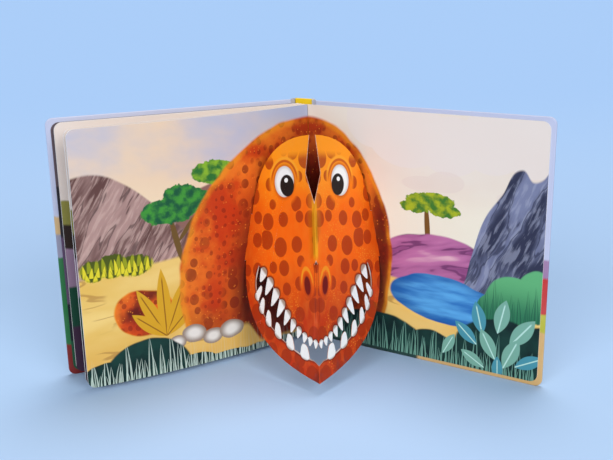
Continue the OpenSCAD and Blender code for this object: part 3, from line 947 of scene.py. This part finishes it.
class BOOK_OT_head(bpy.types.Operator):
    """Makes the folded card head that stands out of the gutter"""

    bl_idname = "book.head"
    bl_label = "Pop-up head"

    def execute(self, context):
        sizes, colours = context.scene.book_sizes, context.scene.book_colours
        head = twin(context, NODES["popup_head"], "head_card")
        head.parent = None
        for key in list(head.keys()):
            del head[key]
        select_only(context, head)
        self.cut_strips(sizes)
        self.map_flat(head, sizes)
        self.give_papers(head, sizes, colours)
        cheeks = [twin(context, head, name) for name in ("left_cheek_card", "right_cheek_card")]
        for part, side in zip((head, *cheeks), (0, -1, 1)):
            select_only(context, part)
            self.trim(part, side, sizes)
            bpy.ops.object.shade_smooth_by_angle(angle=CARD_SMOOTH_ANGLE)
            start, end = self.ramp(side, sizes)
            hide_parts("popup_head")
            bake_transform(part)
        return {"FINISHED"}

    def flat_frame(self, sizes):
        """The chin, the way up the crease and how much of a flat width shows across, in metres."""
        chin = Vector((sizes.gutter_x, sizes.gutter_y - sizes.chin_reach, sizes.chin_h)) * MM
        rise = Vector((0.0, math.sin(sizes.head_lean), math.cos(sizes.head_lean)))
        return chin, rise, math.cos(sizes.head_fold)

    def cut_strips(self, sizes):
        """Cuts the card into strips both ways."""
        chin, rise, _ = self.flat_frame(sizes)
        bpy.ops.object.mode_set(mode="EDIT")
        bpy.ops.mesh.select_all(action="SELECT")
        bpy.ops.mesh.remove_doubles(threshold=MERGE_GAP)
        steps = int(sizes.chin_reach / 2 // sizes.bend_step)
        columns = [index for index in range(-steps, steps + 1) if index]
        planes = [((index * sizes.bend_step, 0.0), (1.0, 0.0, 0.0)) for index in columns]
        rows = int(sizes.head_len // sizes.bend_rise)
        planes += [((0.0, (index + 0.5) * sizes.bend_rise), rise) for index in range(rows + 1)]
        for (across, up), normal in planes:
            bpy.ops.mesh.select_all(action="SELECT")
            place = chin + Vector((across * MM, 0.0, 0.0)) + rise * (up * MM)
            bpy.ops.mesh.bisect(plane_co=place, plane_no=normal)
        bpy.ops.object.mode_set(mode="OBJECT")

    def trim(self, part, side, sizes):
        """Leaves the head's middle, or the cheek on one side, with its cut closed."""
        chin, rise, wide = self.flat_frame(sizes)
        lean = (sizes.cheek_top - sizes.cheek_foot) / sizes.head_len
        for half in (-1, 1):
            for face in part.data.polygons:
                face.select = (face.center.x - chin.x) * half > 0
            bpy.ops.object.mode_set(mode="EDIT")
            bpy.ops.mesh.select_mode(type="FACE")
            if side == -half:
                bpy.ops.mesh.delete(type="FACE")
            else:
                deep = math.sin(sizes.head_fold)
                across = Vector((half * wide, deep * rise.z, -deep * rise.y))
                bpy.ops.mesh.bisect(
                    plane_co=chin + across * (sizes.cheek_foot * MM),
                    plane_no=across - rise * lean,
                    use_fill=True,
                    clear_inner=side == half,
                    clear_outer=side == 0,
                )
            bpy.ops.mesh.select_all(action="SELECT")
            bpy.ops.mesh.remove_doubles(threshold=3 * MERGE_GAP)
            bpy.ops.mesh.select_all(action="DESELECT")
            bpy.ops.object.mode_set(mode="OBJECT")

    def ramp(self, side, sizes):
        """Start and end of the way over which a part of the head turns from one page to the other."""
        chin, rise, wide = self.flat_frame(sizes)
        rate = 0.5 / sizes.middle_reach
        if side == 0:
            reach = Vector((wide * sizes.middle_reach * MM, 0.0, 0.0))
            return chin - reach, chin + reach
        lean = (sizes.cheek_top - sizes.cheek_foot) / sizes.head_len
        beyond = sizes.tab_across - sizes.cheek_foot - lean * sizes.tab_up
        gain = (0.5 - rate * sizes.tab_across) / beyond
        slope = Vector(((rate + gain) / wide, 0.0, 0.0)) - rise * (gain * lean)
        share = 0.5 - gain * sizes.cheek_foot
        slope.x *= side
        step = slope / slope.length_squared * MM
        start = chin - step * share
        return (start, start + step) if side > 0 else (start + step, start)

    def map_flat(self, head, sizes):
        """Lays the two halves flat on one map: across the crease and up from the chin."""
        mesh = head.data
        while mesh.uv_layers:
            mesh.uv_layers.remove(mesh.uv_layers[0])
        layer = mesh.uv_layers.new(name="flat")
        chin, rise, wide = self.flat_frame(sizes)
        span = FLAT_SPAN * MM
        for loop in mesh.loops:
            offset = mesh.vertices[loop.vertex_index].co - chin
            layer.data[loop.index].uv = (0.5 + offset.x / wide / span, offset.dot(rise) / span)

    def give_papers(self, head, sizes, colours):
        """The print on the front, plain card behind and a pale cut edge."""
        mesh = head.data
        mesh.materials.clear()
        front, back, edge = Net("head_print"), Net("head_back"), Net("head_edge")
        mesh.materials.append(front.finish(head_print(front, colours), *HEAD_FINISH))
        mesh.materials.append(back.finish(card_back(back, colours.paper), *CARD_FINISH))
        mesh.materials.append(edge.finish(card_back(edge, (206, 140, 108)), *CARD_FINISH))
        # Each slot, and the range of how far its faces look forwards.
        for index, low, high in ((0, 0.5, 1.1), (1, -1.1, -0.5), (2, -0.5, 0.5)):
            head.active_material_index = index
            for face in mesh.polygons:
                side = math.copysign(1.0, face.center.x - sizes.gutter_x * MM)
                out = Vector((side * math.sin(sizes.head_fold), -math.cos(sizes.head_fold), 0.0))
                out.rotate(Matrix.Rotation(-sizes.head_lean, 3, "X"))
                face.select = low < face.normal.dot(out) <= high
            bpy.ops.object.mode_set(mode="EDIT")
            bpy.ops.mesh.select_mode(type="FACE")
            bpy.ops.object.material_slot_assign()
            bpy.ops.mesh.select_all(action="DESELECT")
            bpy.ops.object.mode_set(mode="OBJECT")


class BOOK_OT_studio(bpy.types.Operator):
    """Sets the floor, the lights and the camera"""

    bl_idname = "book.studio"
    bl_label = "Studio"

    def execute(self, context):
        studio = context.scene.book_studio
        self.lay_floor(context, studio)
        self.set_light(context, studio)
        self.set_camera(context, studio)
        context.scene.view_settings.view_transform = "Standard"
        return {"FINISHED"}

    def lay_floor(self, context, studio):
        """A wide floor that is paler near the camera."""
        bpy.ops.object.select_all(action="DESELECT")
        bpy.ops.mesh.primitive_plane_add(size=FLOOR_SIZE, location=(0.0, 0.0, 0.0))
        floor = context.object
        floor.name = "studio_floor"
        net = Net("studio_floor")
        here = net.place()
        # Metres behind the book, or past the first metre on any side.
        depth = here.along((0.0, MM, 0.0)).most(here.radius() * MM - 1.0)
        paint = depth.rise(-0.4, 1.6).mix(studio.floor_near, studio.backdrop)
        shader = net.add("ShaderNodeBsdfDiffuse", {}, {"Color": paint})
        net.add("ShaderNodeOutputMaterial", {}, {"Surface": shader})
        floor.data.materials.append(net.material)

    def set_light(self, context, studio):
        """An even light, a backdrop for camera and mirror rays, and three soft lamps."""
        world = bpy.data.worlds.new("studio_light")
        net = Net("studio_light", world)
        ray = net.add("ShaderNodeLightPath", {}, {}, "Is Camera Ray")
        for kind in ("Is Glossy Ray", "Is Transmission Ray"):
            ray = ray.most(net.add("ShaderNodeLightPath", {}, {}, kind))
        light = net.add("ShaderNodeBackground", {}, {"Color": FILL_TINT, "Strength": studio.fill})
        seen = net.add("ShaderNodeBackground", {}, {"Color": studio.horizon, "Strength": 1.0})
        both = net.add("ShaderNodeMixShader", {}, {0: ray, 1: light, 2: seen})
        net.add("ShaderNodeOutputWorld", {}, {"Surface": both})
        context.scene.world = world
        for name, place, strength in (
            ("left_lamp", (-0.55, -0.8, 0.44), studio.key),
            ("right_lamp", (0.5, -0.8, 0.42), studio.key),
            ("top_lamp", (0.1, 0.28, 0.95), studio.top),
        ):
            bpy.ops.object.light_add(type="SUN", location=place)
            lamp = context.object
            lamp.name = name
            lamp.data.angle = studio.softness
            lamp.data.energy = strength
            lamp.rotation_euler = (-Vector(place)).to_track_quat("-Z", "Y").to_euler()

    def set_camera(self, context, studio):
        """The camera that was fitted to the photograph."""
        bpy.ops.object.camera_add(location=studio.eye)
        camera = context.object
        level = Matrix.Rotation(-studio.yaw, 3, "Z") @ Matrix.Rotation(math.pi / 2 - studio.pitch, 3, "X")
        camera.rotation_euler = (level @ Matrix.Rotation(studio.roll, 3, "Z")).to_euler()
        camera.data.sensor_fit = "HORIZONTAL"
        camera.data.sensor_width = 36.0
        camera.data.lens = studio.lens
        camera.data.clip_end = 100.0
        context.scene.camera = camera


class BOOK_PT_sidebar(bpy.types.Panel):
    """Lists the book's operators and values"""

    bl_idname = "BOOK_PT_sidebar"
    bl_label = "Pop-up book"
    bl_space_type = "VIEW_3D"
    bl_region_type = "UI"
    bl_category = "Book"

    def draw(self, context):
        for operator in OPERATORS:
            self.layout.operator(operator.bl_idname)
        for group in (context.scene.book_sizes, context.scene.book_colours, context.scene.book_studio):
            box = self.layout.box()
            for name in group.__annotations__:
                box.prop(group, name)


OPERATORS = (BOOK_OT_covers, BOOK_OT_spine, BOOK_OT_pages, BOOK_OT_head, BOOK_OT_studio)
GROUPS = (BookSizes, BookColours, StudioSettings)


def register():
    for kind in GROUPS + OPERATORS + (BOOK_PT_sidebar,):
        bpy.utils.register_class(kind)
    bpy.types.Scene.book_sizes = bpy.props.PointerProperty(type=BookSizes)
    bpy.types.Scene.book_colours = bpy.props.PointerProperty(type=BookColours)
    bpy.types.Scene.book_studio = bpy.props.PointerProperty(type=StudioSettings)


def unregister():
    del bpy.types.Scene.book_studio
    del bpy.types.Scene.book_colours
    del bpy.types.Scene.book_sizes
    for kind in reversed(GROUPS + OPERATORS + (BOOK_PT_sidebar,)):
        bpy.utils.unregister_class(kind)


def main():
    register()
    bpy.ops.book.covers()
    bpy.ops.book.spine()
    bpy.ops.book.pages()
    bpy.ops.book.head()
    bpy.ops.book.studio()


if __name__ == "__main__":
    main()
